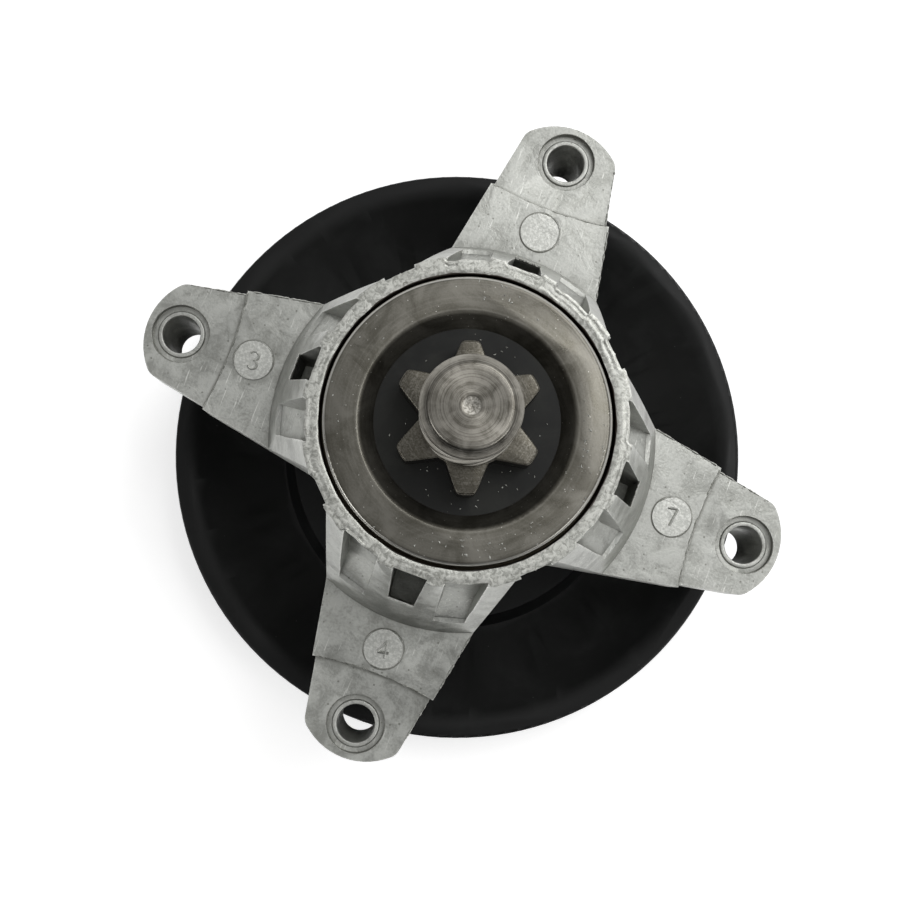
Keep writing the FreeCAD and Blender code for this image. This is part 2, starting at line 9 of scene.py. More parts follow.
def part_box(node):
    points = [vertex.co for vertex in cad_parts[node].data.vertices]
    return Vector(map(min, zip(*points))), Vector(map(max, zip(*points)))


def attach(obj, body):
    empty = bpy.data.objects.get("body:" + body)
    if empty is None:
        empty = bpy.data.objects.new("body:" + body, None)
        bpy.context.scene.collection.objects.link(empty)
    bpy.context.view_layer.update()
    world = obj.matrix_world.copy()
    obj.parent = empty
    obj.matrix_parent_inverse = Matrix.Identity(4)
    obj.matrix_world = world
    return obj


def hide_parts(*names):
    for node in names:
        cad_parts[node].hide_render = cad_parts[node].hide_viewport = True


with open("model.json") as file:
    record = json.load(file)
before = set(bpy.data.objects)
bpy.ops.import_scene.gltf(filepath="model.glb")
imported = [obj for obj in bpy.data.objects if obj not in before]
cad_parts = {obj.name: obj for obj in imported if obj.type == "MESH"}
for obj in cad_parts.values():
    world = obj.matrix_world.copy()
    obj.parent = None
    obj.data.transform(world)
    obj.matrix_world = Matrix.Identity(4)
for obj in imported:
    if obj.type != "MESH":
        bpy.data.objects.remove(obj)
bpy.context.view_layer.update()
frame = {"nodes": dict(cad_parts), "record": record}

print("stage: frame loaded")
mm = 0.001
fullTurn = 2 * math.pi
upward = np.array((0, 0, 1.0))
scene = bpy.context.scene
scene.view_settings.view_transform = "Standard"

# heights and radii of the main forms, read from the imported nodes, in metres
shaftLow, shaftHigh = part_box("spindle_shaft")
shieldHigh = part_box("dust_shield")[1]
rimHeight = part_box("spindle_housing")[1].z
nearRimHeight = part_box("lower_sheave")[1].z
stubHeight = shaftHigh.z
shieldHeight = shieldHigh.z
shieldRadius = shieldHigh.x

# places on the casting and the shaft that the finishes and the added pieces share
starFront = 127.4 * mm
housingValues = {
    "mouthRadius": 33.2 * mm,
    "pinReach": 56.3 * mm,
    "boltReach": 76.2 * mm,
    "boltFloor": 69.0 * mm,
    "stepReach": 62.6 * mm,
    "stepCurve": 96.0 * mm,
    "landHeight": 72.5 * mm,
    "padHeight": 71.0 * mm,
}


# short helpers that put nodes into a material's tree

def setInputs(tree, node, inputs):
    # a socket is linked, any other value is set on the node's own input
    for key, value in inputs.items():
        if isinstance(value, bpy.types.NodeSocket):
            tree.links.new(value, node.inputs[key])
        else:
            node.inputs[key].default_value = value


def addNode(tree, kind, settings=None, inputs=None):
    made = tree.nodes.new(kind)
    for key, value in (settings or {}).items():
        setattr(made, key, value)
    setInputs(tree, made, inputs or {})
    return made


def newFinish(name):
    finish = bpy.data.materials.new(name)
    finish.use_nodes = True
    tree = finish.node_tree
    shader = tree.nodes["Principled BSDF"]
    place = addNode(tree, "ShaderNodeTexCoord").outputs["Object"]
    return finish, tree, shader, place


def grainOf(tree, place, size, detail, rough, stretch=(1, 1, 1), twist=0.0):
    # noise whose blots are about size metres across, drawn out along the axes by stretch
    moved = addNode(tree, "ShaderNodeMapping", None,
                    {"Vector": place, "Scale": tuple(1 / (size * part) for part in stretch)})
    noise = addNode(tree, "ShaderNodeTexNoise", None,
                    {"Vector": moved.outputs[0], "Scale": 1.0, "Detail": detail, "Roughness": rough,
                     "Distortion": twist})
    return noise.outputs["Fac"]


def spotsOf(tree, place, size):
    # distance to the nearest of scattered points, in units of their spacing
    moved = addNode(tree, "ShaderNodeMapping", None, {"Vector": place, "Scale": (1 / size,) * 3})
    spots = addNode(tree, "ShaderNodeTexVoronoi", None, {"Vector": moved.outputs[0], "Scale": 1.0})
    return spots.outputs["Distance"]


def mathOf(tree, kind, first, second=0.0):
    return addNode(tree, "ShaderNodeMath", {"operation": kind}, {0: first, 1: second}).outputs[0]


def productOf(tree, first, second):
    return mathOf(tree, "MULTIPLY", first, second)


def weighted(tree, *parts):
    # the sum of sources, each times its share
    total = 0.0
    for source, share in parts:
        total = mathOf(tree, "ADD", total, productOf(tree, source, share))
    return total


def lengthOf(tree, first, second):
    # length of a level vector from its two parts
    flat = addNode(tree, "ShaderNodeCombineXYZ", None, {0: first, 1: second}).outputs[0]
    return addNode(tree, "ShaderNodeVectorMath", {"operation": "LENGTH"}, {0: flat}).outputs["Value"]


def stepOf(tree, source, low, high, lowValue=0.0, highValue=1.0):
    # a smooth step from one value to another between two source levels
    inputs = {"Value": source, "From Min": low, "From Max": high, "To Min": lowValue, "To Max": highValue}
    made = addNode(tree, "ShaderNodeMapRange", {"interpolation_type": "SMOOTHSTEP"}, inputs)
    return made.outputs["Result"]


def stepBelow(tree, source, level, depths, lowValue=0.0, highValue=1.0):
    # a smooth step between two depths below a level, which are negative above it
    return stepOf(tree, source, level - depths[0], level - depths[1], lowValue, highValue)


def blendOf(tree, share, first, second):
    made = addNode(tree, "ShaderNodeMix", {"data_type": "RGBA"}, {0: share, 6: first, 7: second})
    return made.outputs[2]


def reliefOf(tree, height, distance, strength, below=None):
    inputs = {"Height": height, "Distance": distance, "Strength": strength}
    if below:
        inputs["Normal"] = below
    return addNode(tree, "ShaderNodeBump", None, inputs).outputs[0]


def axisParts(tree, place):
    # height and distance from the spindle axis
    parts = addNode(tree, "ShaderNodeSeparateXYZ", None, {0: place}).outputs
    return parts[2], lengthOf(tree, parts[0], parts[1])


def armSpot(tree, place, reach):
    # distance from a point at the given reach on the nearest of the four arms: the place is folded
    # so that the larger of its two level parts lies along the arm
    parts = addNode(tree, "ShaderNodeSeparateXYZ", None, {0: place}).outputs
    level = [mathOf(tree, "ABSOLUTE", parts[0]), mathOf(tree, "ABSOLUTE", parts[1])]
    along = mathOf(tree, "SUBTRACT", mathOf(tree, "MAXIMUM", *level), reach)
    return lengthOf(tree, along, mathOf(tree, "MINIMUM", *level))


def openOf(tree, distance, inside=False, samples=6):
    # how open the surface is within a short distance: low in hollows, or low near edges when inside
    made = addNode(tree, "ShaderNodeAmbientOcclusion",
                   {"samples": samples, "only_local": True, "inside": inside}, {"Distance": distance})
    return made.outputs["AO"]


def ringsOf(tree, height, reach, pitch, rise=2, detail=2.0):
    # noise that only changes with reach and height, as the marks of a lathe do
    parts = {0: mathOf(tree, "DIVIDE", reach, pitch), 1: mathOf(tree, "DIVIDE", height, pitch * rise)}
    ringPlace = addNode(tree, "ShaderNodeCombineXYZ", None, parts).outputs[0]
    inputs = {"Vector": ringPlace, "Scale": 1.0, "Detail": detail}
    return addNode(tree, "ShaderNodeTexNoise", None, inputs).outputs["Fac"]


def specksOf(tree, place, values):
    # small specks about scattered points
    spots = spotsOf(tree, place, values["speck"])
    return stepOf(tree, spots, *values["speckStep"], values["speckShare"], 0)


def aroundAxis(tree):
    return addNode(tree, "ShaderNodeTangent", {"direction_type": "RADIAL", "axis": "Z"}).outputs[0]


# In the finishes' values a Step is the two levels of its source between which a tone comes in, a Share is
# how strongly it does, a Depth is measured down from a height, a Soft in from a radius, and a Relief is
# distance and strength.

castValues = {
    "light": (0.455, 0.461, 0.434, 1),
    "dark": (0.300, 0.304, 0.282, 1),
    # the dark tone of real stains, pits and dirty grooves, also laid on as painted shade in hollows and
    # along the foot of the step
    "stainAndShade": (0.150, 0.150, 0.132, 1),
    "torn": (0.700, 0.704, 0.668, 1),
    "pinDisc": (0.640, 0.645, 0.610, 1),
    # painted shade with a rusty tint, laid on the mouth's wall in the gap between hub and shield
    "mouthWallShadeAndRust": (0.050, 0.042, 0.028, 1),
    "metallic": 0.85,
    "roughness": (0.34, 0.50),
    "roughStep": (0.3, 0.7),
    "blot": {"size": 6 * mm, "detail": 6, "rough": 0.64, "twist": 0.6},
    "smudge": {"size": 19 * mm, "detail": 8, "rough": 0.66, "twist": 1.1},
    "grain": {"size": 0.6 * mm, "detail": 3, "rough": 0.6},
    "scratch": {"size": 0.5 * mm, "detail": 2, "rough": 0.5, "stretch": (1, 16, 1), "twist": 0.3},
    "shred": {"size": 0.9 * mm, "detail": 5, "rough": 0.7, "twist": 1.2},
    "blotShare": 0.72,
    "grainShare": 0.28,
    "toneStep": (0.38, 0.60),
    "smudgeStep": (0.56, 0.74),
    "smudgeShare": 0.50,
    "pit": 2.6 * mm,
    "pitStep": (0.07, 0.13),
    "pitShare": 0.7,
    "scratchStep": (0.64, 0.70),
    "scratchShare": 0.7,
    "cleanStep": (0.45, 0.6),
    "pinRadius": 5.0 * mm,
    "discSoft": (0, 0.2 * mm),
    "discDepth": (1.0 * mm, 0.3 * mm),
    "discShare": 0.75,
    "discStep": (0.4, 0.65),
    "boltRing": 7.3 * mm,
    "grooveWidth": 0.28 * mm,
    "grooveDepth": (1.0 * mm, 0),
    "grooveShare": 0.85,
    "grooveStep": (0.35, 0.55),
    "footSoft": (1.1 * mm, 0.1 * mm),
    "footDepth": (0.2 * mm, 0.9 * mm),
    "footSink": (0.6 * mm, 0.2 * mm),
    "footStep": (0.36, 0.56),
    "footShares": (0.15, 0.85),
    "hollowReach": 3 * mm,
    "hollowStep": (0.30, 0.80),
    "hollowShare": 0.50,
    "edgeReach": 0.8 * mm,
    "edgeStep": (0.72, 0.38),
    "shredStep": (0.40, 0.58),
    "mouthSoft": (-0.25 * mm, -0.1 * mm),
    "mouthDepth": (0.3 * mm, 0.7 * mm),
    "grainRelief": (0.10 * mm, 0.30),
    "blotRelief": (0.6 * mm, 0.30),
    "grooveRelief": (0.3 * mm, -0.6),
}


def castAluminium():
    finish, tree, shader, place = newFinish("castAluminium")
    values = castValues
    land = housingValues["landHeight"]
    height, reach = axisParts(tree, place)
    blot = grainOf(tree, place, **values["blot"])
    smudge = grainOf(tree, place, **values["smudge"])
    grain = grainOf(tree, place, **values["grain"])
    tone = weighted(tree, (blot, values["blotShare"]), (grain, values["grainShare"]))
    colour = blendOf(tree, stepOf(tree, tone, *values["toneStep"]), values["dark"], values["light"])
    smear = stepOf(tree, smudge, *values["smudgeStep"], 0, values["smudgeShare"])
    colour = blendOf(tree, smear, colour, values["stainAndShade"])
    pits = stepOf(tree, spotsOf(tree, place, values["pit"]), *values["pitStep"], values["pitShare"], 0)
    colour = blendOf(tree, pits, colour, values["stainAndShade"])
    scratch = stepOf(tree, grainOf(tree, place, **values["scratch"]), *values["scratchStep"])
    clean = stepOf(tree, smudge, *values["cleanStep"], values["scratchShare"], 0)
    colour = blendOf(tree, productOf(tree, scratch, clean), colour, values["torn"])

    # the pin discs are brighter, and a dirty groove runs round each disc and each bolt recess
    pin = armSpot(tree, place, housingValues["pinReach"])
    disc = stepBelow(tree, pin, values["pinRadius"], values["discSoft"], 0, values["discShare"])
    raised = stepBelow(tree, height, land, values["discDepth"])
    discTone = blendOf(tree, stepOf(tree, grain, *values["discStep"]), values["light"], values["pinDisc"])
    colour = blendOf(tree, productOf(tree, disc, raised), colour, discTone)
    bolt = armSpot(tree, place, housingValues["boltReach"])
    width = values["grooveWidth"]
    groove = 0.0
    for away, radius in ((pin, values["pinRadius"] + width / 2), (bolt, values["boltRing"])):
        off = mathOf(tree, "ABSOLUTE", mathOf(tree, "SUBTRACT", away, radius))
        mark = stepOf(tree, off, width, width / 3, 0, values["grooveShare"])
        groove = mathOf(tree, "MAXIMUM", groove, mark)
    aboveFloor = stepBelow(tree, height, housingValues["boltFloor"], values["grooveDepth"])
    groove = productOf(tree, groove, aboveFloor)
    dirt = productOf(tree, groove, stepOf(tree, blot, *values["grooveStep"]))
    colour = blendOf(tree, dirt, colour, values["stainAndShade"])

    # painted shade along the foot of the step between land and pad, broken into patches by noise, an arc
    # about a point beyond the tip
    curve = armSpot(tree, place, housingValues["stepReach"] + housingValues["stepCurve"])
    foot = productOf(tree, stepBelow(tree, curve, housingValues["stepCurve"], values["footSoft"]),
                     stepBelow(tree, height, land, values["footDepth"]))
    foot = productOf(tree, foot, stepOf(tree, blot, *values["footStep"], *values["footShares"]))
    foot = productOf(tree, foot, stepBelow(tree, height, housingValues["padHeight"], values["footSink"]))
    colour = blendOf(tree, foot, colour, values["stainAndShade"])

    # hollows get painted shade where a short occlusion test finds them closed in, edges are bright and
    # shredded, and the mouth's wall is painted near-black brown: painted shade in the gap, with a rusty tint
    hollowShade = openOf(tree, values["hollowReach"])
    hollowShade = stepOf(tree, hollowShade, *values["hollowStep"], values["hollowShare"], 0)
    colour = blendOf(tree, hollowShade, colour, values["stainAndShade"])
    shred = grainOf(tree, place, **values["shred"])
    edge = stepOf(tree, openOf(tree, values["edgeReach"], True), *values["edgeStep"])
    edge = productOf(tree, edge, stepOf(tree, shred, *values["shredStep"]))
    colour = blendOf(tree, edge, colour, values["torn"])
    # painted shade, with a rusty tint, on the mouth's wall below the rim
    mouthShadeAndRust = productOf(tree, stepBelow(tree, reach, housingValues["mouthRadius"], values["mouthSoft"]),
                      stepBelow(tree, height, rimHeight, values["mouthDepth"]))
    colour = blendOf(tree, mouthShadeAndRust, colour, values["mouthWallShadeAndRust"])

    bump = reliefOf(tree, grain, *values["grainRelief"])
    bump = reliefOf(tree, blot, *values["blotRelief"], bump)
    bump = reliefOf(tree, groove, *values["grooveRelief"], bump)
    setInputs(tree, shader, {
        "Base Color": colour,
        "Metallic": values["metallic"],
        "Roughness": stepOf(tree, blot, *values["roughStep"], *values["roughness"]),
        "Normal": bump,
    })
    return finish


tornValues = {
    "light": (0.540, 0.544, 0.508, 1),
    "dark": (0.290, 0.293, 0.268, 1),
    "dirt": (0.110, 0.102, 0.080, 1),
    "metallic": 0.85,
    "roughness": (0.28, 0.46),
    "roughStep": (0.3, 0.7),
    "shred": {"size": 1.2 * mm, "detail": 6, "rough": 0.7, "twist": 1.0},
    "tear": {"size": 2.6 * mm, "detail": 5, "rough": 0.7, "twist": 1.6},
    "shredStep": (0.38, 0.60),
    "tearStep": (0.60, 0.70),
    "tearShare": 0.70,
    "shredRelief": (0.20 * mm, 0.3),
}


def tornAluminium():
    # fresh broken metal: bright facets between small dark tears
    finish, tree, shader, place = newFinish("tornAluminium")
    values = tornValues
    shred = grainOf(tree, place, **values["shred"])
    tear = stepOf(tree, grainOf(tree, place, **values["tear"]), *values["tearStep"], 0, values["tearShare"])
    colour = blendOf(tree, stepOf(tree, shred, *values["shredStep"]), values["dark"], values["light"])
    setInputs(tree, shader, {
        "Base Color": blendOf(tree, tear, colour, values["dirt"]),
        "Metallic": values["metallic"],
        "Roughness": stepOf(tree, shred, *values["roughStep"], *values["roughness"]),
        "Normal": reliefOf(tree, shred, *values["shredRelief"]),
    })
    return finish


steelValues = {
    "light": (0.290, 0.277, 0.246, 1),
    "dark": (0.110, 0.103, 0.087, 1),
    "tooth": (0.075, 0.069, 0.055, 1),
    # bright tone of the centre mark, also used as a painted highlight along the shaft's edges
    "centre": (0.600, 0.580, 0.530, 1),
    "anisotropic": 0.75,
    "roughness": (0.27, 0.38),
    "roughStep": (0.3, 0.7),
    "centreRough": 0.25,
    "ringPitch": 0.22 * mm,
    "blot": {"size": 4 * mm, "detail": 6, "rough": 0.62, "twist": 0.4},
    "grain": {"size": 0.45 * mm, "detail": 3, "rough": 0.6},
    "ringShare": 0.5,
    "blotShare": 0.5,
    "toneStep": (0.38, 0.62),
    "toothDepth": (-0.3 * mm, -0.1 * mm),
    "toothStep": (0.35, 0.6),
    "toothShares": (1, 0.55),
    "centreRadius": 2.0 * mm,
    "centreSoft": (0, 0.35 * mm),
    "centreDepth": (3 * mm, 2 * mm),
    "centreStep": (0.4, 0.6),
    "edgeReach": 0.6 * mm,
    "edgeStep": (0.70, 0.42),
    "ringRelief": (0.02 * mm, 0.3),
    "grainRelief": (0.06 * mm, 0.3),
}


def turnedSteel():
    finish, tree, shader, place = newFinish("turnedSteel")
    values = steelValues
    height, reach = axisParts(tree, place)
    rings = ringsOf(tree, height, reach, values["ringPitch"])
    blot = grainOf(tree, place, **values["blot"])
    grain = grainOf(tree, place, **values["grain"])
    tone = weighted(tree, (rings, values["ringShare"]), (blot, values["blotShare"]))
    colour = blendOf(tree, stepOf(tree, tone, *values["toneStep"]), values["dark"], values["light"])
    tooth = productOf(tree, stepBelow(tree, height, starFront, values["toothDepth"]),
                      stepOf(tree, grain, *values["toothStep"], *values["toothShares"]))
    colour = blendOf(tree, tooth, colour, values["tooth"])
    centre = productOf(tree, stepBelow(tree, reach, values["centreRadius"], values["centreSoft"]),
                       stepBelow(tree, height, stubHeight, values["centreDepth"]))
    centreTone = blendOf(tree, stepOf(tree, grain, *values["centreStep"]), values["light"], values["centre"])
    colour = blendOf(tree, centre, colour, centreTone)
    # painted highlight: convex edges, found by a short inside occlusion test, take the bright centre colour
    edge = stepOf(tree, openOf(tree, values["edgeReach"], True), *values["edgeStep"])
    colour = blendOf(tree, edge, colour, values["centre"])
    rough = stepOf(tree, blot, *values["roughStep"], *values["roughness"])
    bump = reliefOf(tree, rings, *values["ringRelief"])
    setInputs(tree, shader, {
        "Base Color": colour,
        "Metallic": 1.0,
        "Anisotropic": values["anisotropic"],
        "Roughness": mathOf(tree, "ADD", rough, productOf(tree, centre, values["centreRough"])),
        "Tangent": aroundAxis(tree),
        "Normal": reliefOf(tree, grain, *values["grainRelief"], bump),
    })
    return finish


shieldValues = {
    "light": (0.180, 0.173, 0.152, 1),
    "dark": (0.098, 0.093, 0.077, 1),
    "rust": (0.100, 0.036, 0.014, 1),
    # bright tone of the specks of dust, also used as a painted highlight round the shield's rim
    "edge": (0.600, 0.590, 0.550, 1),
    "anisotropic": 0.4,
    "roughness": (0.26, 0.38),
    "roughStep": (0.3, 0.7),
    "wallRough": 0.30,
    "wallReach": 24.6 * mm,
    "wallSoft": (0, 0.6 * mm),
    "ringPitch": 0.5 * mm,
    "blot": {"size": 11 * mm, "detail": 7, "rough": 0.64, "twist": 0.8},
    "grain": {"size": 0.45 * mm, "detail": 3, "rough": 0.65},
    "blotShare": 0.6,
    "ringShare": 0.25,
    "grainShare": 0.15,
    "toneStep": (0.38, 0.62),
    "speck": 1.6 * mm,
    "speckStep": (0.05, 0.10),
    "speckShare": 0.6,
    "edgeSoft": (0.77 * mm, 0.55 * mm),
    "edgeDepth": (0.8 * mm, 0.5 * mm),
    "rustSoft": (0.5 * mm, 0.2 * mm),
    "rustDepth": (0.7 * mm, 1.2 * mm),
    "grainRelief": (0.05 * mm, 0.25),
}


def pressedSteel():
    finish, tree, shader, place = newFinish("pressedSteel")
    values = shieldValues
    height, reach = axisParts(tree, place)
    blot = grainOf(tree, place, **values["blot"])
    grain = grainOf(tree, place, **values["grain"])
    rings = ringsOf(tree, height, reach, values["ringPitch"])
    tone = weighted(tree, (blot, values["blotShare"]), (rings, values["ringShare"]),
                    (grain, values["grainShare"]))
    colour = blendOf(tree, stepOf(tree, tone, *values["toneStep"]), values["dark"], values["light"])
    specks = specksOf(tree, place, values)
    colour = blendOf(tree, specks, colour, values["edge"])
    # edge is a painted highlight, a bright band round the top of the shield's outer rim; rust is a real
    # brown band on the rim's side below it
    for look in ("edge", "rust"):
        band = productOf(tree, stepBelow(tree, reach, shieldRadius, values[look + "Soft"]),
                         stepBelow(tree, height, shieldHeight, values[look + "Depth"]))
        colour = blendOf(tree, band, colour, values[look])
    rough = stepOf(tree, blot, *values["roughStep"], *values["roughness"])
    wall = stepBelow(tree, reach, values["wallReach"], values["wallSoft"], 0, values["wallRough"])
    setInputs(tree, shader, {
        "Base Color": colour,
        "Metallic": 1.0,
        "Anisotropic": values["anisotropic"],
        "Roughness": mathOf(tree, "ADD", rough, wall),
        "Tangent": aroundAxis(tree),
        "Normal": reliefOf(tree, grain, *values["grainRelief"]),
    })
    return finish


rubberValues = {
    "black": (0.0050, 0.0054, 0.0045, 1),
    "film": (0.0150, 0.0156, 0.0132, 1),
    "dust": (0.34, 0.33, 0.30, 1),
    "specular": 0.25,
    "roughness": (0.30, 0.48),
    "roughStep": (0.3, 0.7),
    "filmNoise": {"size": 10 * mm, "detail": 6, "rough": 0.6, "twist": 0.6},
    "filmStep": (0.42, 0.68),
    "patchNoise": {"size": 9 * mm, "detail": 3, "rough": 0.5},
    "patchStep": (0.50, 0.62),
    "speck": 2.6 * mm,
    "speckStep": (0.05, 0.09),
    "speckShare": 0.8,
}


def sealRubber():
    # black rubber under a thin film, with specks of dust in patches
    finish, tree, shader, place = newFinish("sealRubber")
    values = rubberValues
    film = grainOf(tree, place, **values["filmNoise"])
    colour = blendOf(tree, stepOf(tree, film, *values["filmStep"]), values["black"], values["film"])
    patch = stepOf(tree, grainOf(tree, place, **values["patchNoise"]), *values["patchStep"])
    specks = specksOf(tree, place, values)
    setInputs(tree, shader, {
        "Base Color": blendOf(tree, productOf(tree, specks, patch), colour, values["dust"]),
        "Roughness": stepOf(tree, film, *values["roughStep"], *values["roughness"]),
        "Specular IOR Level": values["specular"],
    })
    return finish


paintValues = {
    "black": (0.0035, 0.0038, 0.0038, 1),
    "worn": (0.0090, 0.0096, 0.0094, 1),
    "dust": (0.060, 0.060, 0.056, 1),
    "specular": 0.22,
    "roughness": (0.36, 0.50),
    "roughStep": (0.3, 0.7),
    "filmNoise": {"size": 18 * mm, "detail": 6, "rough": 0.6, "twist": 0.6},
    "filmStep": (0.45, 0.72),
    "peelNoise": {"size": 1.3 * mm, "detail": 2, "rough": 0.5},
    "peelRelief": (0.04 * mm, 0.25),
    "speck": 5 * mm,
    "speckStep": (0.020, 0.034),
    "speckShare": 0.7,
}


def blackPaint():
    # black paint, a little worn, with an uneven skin and a few specks of dust
    finish, tree, shader, place = newFinish("blackPaint")
    values = paintValues
    film = grainOf(tree, place, **values["filmNoise"])
    colour = blendOf(tree, stepOf(tree, film, *values["filmStep"]), values["black"], values["worn"])
    specks = specksOf(tree, place, values)
    peel = grainOf(tree, place, **values["peelNoise"])
    setInputs(tree, shader, {
        "Base Color": blendOf(tree, specks, colour, values["dust"]),
        "Roughness": stepOf(tree, film, *values["roughStep"], *values["roughness"]),
        "Specular IOR Level": values["specular"],
        "Normal": reliefOf(tree, peel, *values["peelRelief"]),
    })
    return finish


plainNoise = {"size": 4 * mm, "detail": 5, "rough": 0.6}
plainStep = (0.35, 0.65)
plainMetals = {
    "plated_steel": ("platedSteel", (0.58, 0.57, 0.54, 1), (0.44, 0.43, 0.40, 1), 0.32),
    "bearing_steel": ("bearingSteel", (0.58, 0.58, 0.58, 1), (0.48, 0.48, 0.48, 1), 0.18),
    "cage_steel": ("cageSteel", (0.42, 0.41, 0.38, 1), (0.32, 0.31, 0.28, 1), 0.38),
}


def plainMetal(name, light, dark, roughness):
    # one metal tone that wanders softly between two colours
    finish, tree, shader, place = newFinish(name)
    blot = stepOf(tree, grainOf(tree, place, **plainNoise), *plainStep)
    setInputs(tree, shader, {
        "Base Color": blendOf(tree, blot, dark, light),
        "Metallic": 1.0,
        "Roughness": roughness,
    })
    return finish


finishes = {
    "cast_aluminium": castAluminium(),
    "torn_aluminium": tornAluminium(),
    "turned_steel": turnedSteel(),
    "pressed_steel": pressedSteel(),
    "black_rubber": sealRubber(),
    "black_paint": blackPaint(),
}
for slotName, look in plainMetals.items():
    finishes[slotName] = plainMetal(*look)
slotOf = {entry["node"]: entry["material_slot"] for entry in frame["record"]["subparts"]}
bodyOf = {node: body for body, nodes in frame["record"]["behaviour"]["bodies"].items() for node in nodes}
print("stage: finishes made")


def addPiece(name, mesh, body, slotName, finish=None):
    piece = bpy.data.objects.new(name, mesh)
    scene.collection.objects.link(piece)
    mesh.materials.clear()
    mesh.materials.append(finish or finishes[slotName])
    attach(piece, body)
    return piece


def shadeSmooth(mesh, angle):
    mesh.polygons.foreach_set("use_smooth", np.ones(len(mesh.polygons), bool))
    mesh.set_sharp_from_angle(angle=math.radians(angle))


dressValues = {
    "mergeReach": 0.002 * mm,
    "flatAngle": 0.4,
    "smoothAngle": 30,
    "bevelAngle": 40,
    "bevelSegments": 3,
}
# the nodes that get a dressed copy, each with the width its edges are softened by
edgeWidths = {
    "spindle_housing": 0.4 * mm,
    "dust_shield": None,
    "shaft_seal": None,
    "lower_sheave": 0.5 * mm,
    "upper_sheave": 0.5 * mm,
    "pulley_hub": 0.3 * mm,
    "nut_washer": 0.3 * mm,
    "pulley_nut": 0.3 * mm,
}


def dressedCopy(node, bevel):
    # a merged copy of a CAD node, shaded round, with its edges softened where bevel gives a width
    v = dressValues
    mesh = frame["nodes"][node].data.copy()
    build = bmesh.new()
    build.from_mesh(mesh)
    bmesh.ops.remove_doubles(build, verts=build.verts, dist=v["mergeReach"])
    flatLimit = math.radians(v["flatAngle"])
    bmesh.ops.dissolve_limit(build, angle_limit=flatLimit, verts=build.verts, edges=build.edges)
    build.to_mesh(mesh)
    build.free()
    mesh.name = node + "_dressed"
    shadeSmooth(mesh, v["smoothAngle"])
    piece = addPiece(node + "_dressed", mesh, bodyOf[node], slotOf[node])
    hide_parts(node)
    if bevel:
        edge = piece.modifiers.new("edge", "BEVEL")
        edge.width = bevel
        edge.segments = v["bevelSegments"]
        edge.limit_method = "ANGLE"
        edge.angle_limit = math.radians(v["bevelAngle"])
        edge.use_clamp_overlap = True


for node, width in edgeWidths.items():
    dressedCopy(node, width)
print("stage: castings and pressings dressed")


def gridMesh(name, points, closeStart=None, closeEnd=None):
    # points is rows x columns x 3; the columns run round and join up, the ends may close to a point
    rows, columns = points.shape[:2]
    corner = np.arange(rows * columns).reshape(rows, columns)
    after = np.roll(corner, -1, axis=1)
    quads = np.stack([corner[:-1], after[:-1], after[1:], corner[1:]], -1).reshape(-1, 4)
    spots = points.reshape(-1, 3)
    faces = quads.tolist()
    for end, row, flip in ((closeStart, 0, True), (closeEnd, rows - 1, False)):
        if end is None:
            continue
        tip = np.full(columns, len(spots))
        spots = np.vstack([spots, end])
        fan = np.stack([corner[row], after[row], tip], -1)
        faces += (fan[:, ::-1] if flip else fan).tolist()
    mesh = bpy.data.meshes.new(name)
    mesh.from_pydata(spots, [], faces)
    mesh.update()
    return mesh


shaftValues = {
    "stubRadius": 10.8 * mm,
    "stubBevel": 2.1 * mm,
    "bevelRows": 6,
    "bevelStart": 0.15,
    "bevelPower": 0.85,  # under 1 rounds the bevel outwards
    "noseBand": 2.4 * mm,
    "faceRings": 6,
    "faceStart": 2.4 * mm,
    "faceMargin": 0.25 * mm,
    "faceSoft": 0.05 * mm,
    "dotDepth": 0.9 * mm,
    # depth and radius of the rings of the centre dimple, from its dot outwards
    "dimple": ((0.54 * mm, 0.3 * mm), (0.45 * mm, 0.48 * mm), (0.1575 * mm, 1.5 * mm), (0, 2.0 * mm)),
    "reliefRadius": 10.1 * mm,
    "reliefWidth": 2.4 * mm,
    "reliefRun": 0.3 * mm,
    "reliefFoot": 0.01 * mm,
    "starBack": 117.0 * mm,
    "starTip": 17.1 * mm,
    "starTipHalf": 2.1 * mm,
    "starFlank": 20.5,
    "starRoot": 11.0 * mm,
    "starRound": 0.7 * mm,
    "starMargin": 0.02 * mm,
    "roundRows": 6,
    "tipCorner": 1.0 * mm,
    "teeth": 6,
    "halfToothColumns": 24,
    "turn": 48.5,
    "journalRadius": 10.0 * mm,
    "journalEnd": 29.0 * mm,
    "seatRadius": 8.5 * mm,
    "nutSeat": 13.0 * mm,
    "threadRadius": 7.94 * mm,
    "endBevel": 1.0 * mm,
    "pitch": 1.25 * mm,
    "rowsPerPitch": 8,
    "threadDepth": 0.35 * mm,
    "threadSteep": 1.25,
    "threadCrest": 0.1,
    "smoothAngle": 32,
}


def softMin(first, second, blend):
    # the smaller of two values, rounded over where they cross
    return 0.5 * (first + second - np.sqrt((first - second) ** 2 + blend ** 2))


